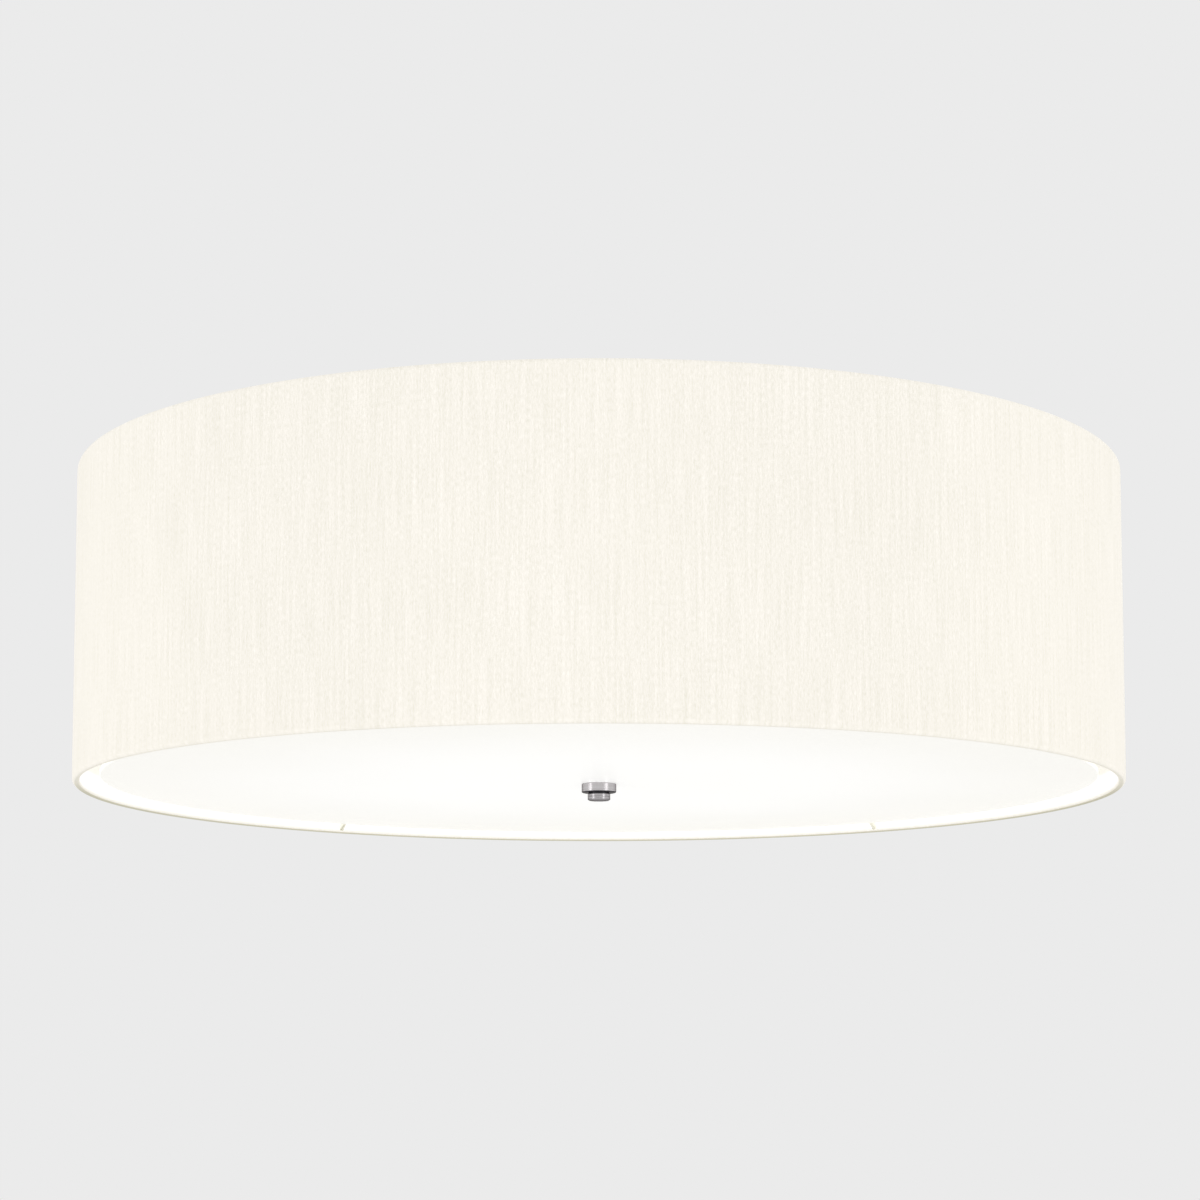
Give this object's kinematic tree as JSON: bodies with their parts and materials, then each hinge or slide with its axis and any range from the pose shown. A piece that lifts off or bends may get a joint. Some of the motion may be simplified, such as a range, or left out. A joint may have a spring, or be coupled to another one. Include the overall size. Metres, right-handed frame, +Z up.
{
  "type": "flush mount ceiling light",
  "caption": "Flush mount ceiling light: fabric drum shade, opal disc diffuser held by a turned finial, and screw-cap lamps under a steel ceiling pan.",
  "frame": {"origin": "centre of the mounting bracket's two slots, on the ceiling plane", "axes": "+Z up into the ceiling, the light hangs towards -Z; +X along the mounting bracket; +Y towards the side of the shade that has the fabric's seam"},
  "size_m": [0.6, 0.6, 0.1902],
  "materials": {
    "shade_fabric": "plain slubbed weave",
    "shade_liner": "translucent white laminate, matt",
    "white_wire": "white powder coat",
    "zinc_steel": "bright zinc plate",
    "white_steel": "white enamel, satin",
    "opal_disc": "opal, satin",
    "soft_washer": "silicone, matt",
    "brushed_nickel": "brushed nickel plate",
    "holder_plastic": "moulded, matt",
    "brass_parts": "rolled brass",
    "lamp_cap_metal": "spun aluminium",
    "lamp_housing_plastic": "moulded, satin",
    "lamp_globe_opal": "opal",
    "block_plastic": "moulded nylon",
    "lead_sheath": "white flexible sheath",
    "earth_sheath": "green and yellow sheath"
  },
  "bodies": {
    "fixture": {"shade_fabric": "shade_fabric", "shade_liner": "shade_liner", "shade_top_ring": "white_wire", "shade_bottom_ring": "white_wire", "spider_spokes": "white_wire", "spider_hub": "white_wire", "hub_lower_nut": "zinc_steel", "hub_upper_nut": "zinc_steel", "stem_rod": "zinc_steel", "stem_upper_nut": "zinc_steel", "stem_lower_nut": "zinc_steel", "stem_washers": "zinc_steel", "ceiling_pan": "white_steel", "mounting_bracket": "zinc_steel", "pan_screws": "zinc_steel", "pan_screw_washers": "zinc_steel", "lamp_carrier": "white_steel", "holder_nipples": "zinc_steel", "holder_nuts": "zinc_steel", "holder_contacts": "brass_parts", "terminal_block": "block_plastic", "terminal_screws": "zinc_steel", "block_screws": "zinc_steel", "lead_grommets": "soft_washer", "earth_lug": "brass_parts", "earth_screw": "zinc_steel", "earth_lead": "earth_sheath", "holder_body_1": "holder_plastic", "holder_sleeve_1": "brass_parts", "holder_lead_1": "lead_sheath", "holder_body_2": "holder_plastic", "holder_sleeve_2": "brass_parts", "holder_lead_2": "lead_sheath", "holder_body_3": "holder_plastic", "holder_sleeve_3": "brass_parts", "holder_lead_3": "lead_sheath", "holder_body_4": "holder_plastic", "holder_sleeve_4": "brass_parts", "holder_lead_4": "lead_sheath"},
    "diffuser": {"diffuser": "opal_disc", "diffuser_gasket": "soft_washer"},
    "finial": {"finial_collar": "brushed_nickel", "finial_knob": "brushed_nickel"},
    "lamp_1_contact": {"lamp_1_contact": "brass_parts"},
    "lamp_1": {"lamp_1_cap": "lamp_cap_metal", "lamp_1_housing": "lamp_housing_plastic", "lamp_1_globe": "lamp_globe_opal"},
    "lamp_2_contact": {"lamp_2_contact": "brass_parts"},
    "lamp_2": {"lamp_2_cap": "lamp_cap_metal", "lamp_2_housing": "lamp_housing_plastic", "lamp_2_globe": "lamp_globe_opal"},
    "lamp_3_contact": {"lamp_3_contact": "brass_parts"},
    "lamp_3": {"lamp_3_cap": "lamp_cap_metal", "lamp_3_housing": "lamp_housing_plastic", "lamp_3_globe": "lamp_globe_opal"},
    "lamp_4_contact": {"lamp_4_contact": "brass_parts"},
    "lamp_4": {"lamp_4_cap": "lamp_cap_metal", "lamp_4_housing": "lamp_housing_plastic", "lamp_4_globe": "lamp_globe_opal"}
  },
  "joints": [
    {"name": "diffuser_lower", "type": "slide", "parent": "fixture", "child": "diffuser", "axis": [0, 0, -1], "range_m": [0, 0.15]},
    {"name": "finial_turn", "type": "hinge", "parent": "diffuser", "child": "finial", "pos_m": [0, 0, -0.1875], "axis": [0, 0, -1], "range_deg": [0, 864]},
    {"name": "lamp_1_travel", "type": "slide", "parent": "fixture", "child": "lamp_1_contact", "axis": [0.7071, 0.7071, 0], "range_m": [0, 0.0245]},
    {"name": "lamp_1_turn", "type": "hinge", "parent": "lamp_1_contact", "child": "lamp_1", "pos_m": [0.07071, 0.07071, -0.062], "axis": [0.7071, 0.7071, 0], "range_deg": [0, 2430]},
    {"name": "lamp_2_travel", "type": "slide", "parent": "fixture", "child": "lamp_2_contact", "axis": [-0.7071, 0.7071, 0], "range_m": [0, 0.0245]},
    {"name": "lamp_2_turn", "type": "hinge", "parent": "lamp_2_contact", "child": "lamp_2", "pos_m": [-0.07071, 0.07071, -0.062], "axis": [-0.7071, 0.7071, 0], "range_deg": [0, 2430]},
    {"name": "lamp_3_travel", "type": "slide", "parent": "fixture", "child": "lamp_3_contact", "axis": [-0.7071, -0.7071, 0], "range_m": [0, 0.0245]},
    {"name": "lamp_3_turn", "type": "hinge", "parent": "lamp_3_contact", "child": "lamp_3", "pos_m": [-0.07071, -0.07071, -0.062], "axis": [-0.7071, -0.7071, 0], "range_deg": [0, 2430]},
    {"name": "lamp_4_travel", "type": "slide", "parent": "fixture", "child": "lamp_4_contact", "axis": [0.7071, -0.7071, 0], "range_m": [0, 0.0245]},
    {"name": "lamp_4_turn", "type": "hinge", "parent": "lamp_4_contact", "child": "lamp_4", "pos_m": [0.07071, -0.07071, -0.062], "axis": [0.7071, -0.7071, 0], "range_deg": [0, 2430]}
  ],
  "couplings": [
    {"joint": "lamp_1_travel", "follows": "lamp_1_turn", "m_per_rad": 0.0005775},
    {"joint": "lamp_2_travel", "follows": "lamp_2_turn", "m_per_rad": 0.0005775},
    {"joint": "lamp_3_travel", "follows": "lamp_3_turn", "m_per_rad": 0.0005775},
    {"joint": "lamp_4_travel", "follows": "lamp_4_turn", "m_per_rad": 0.0005775}
  ]
}
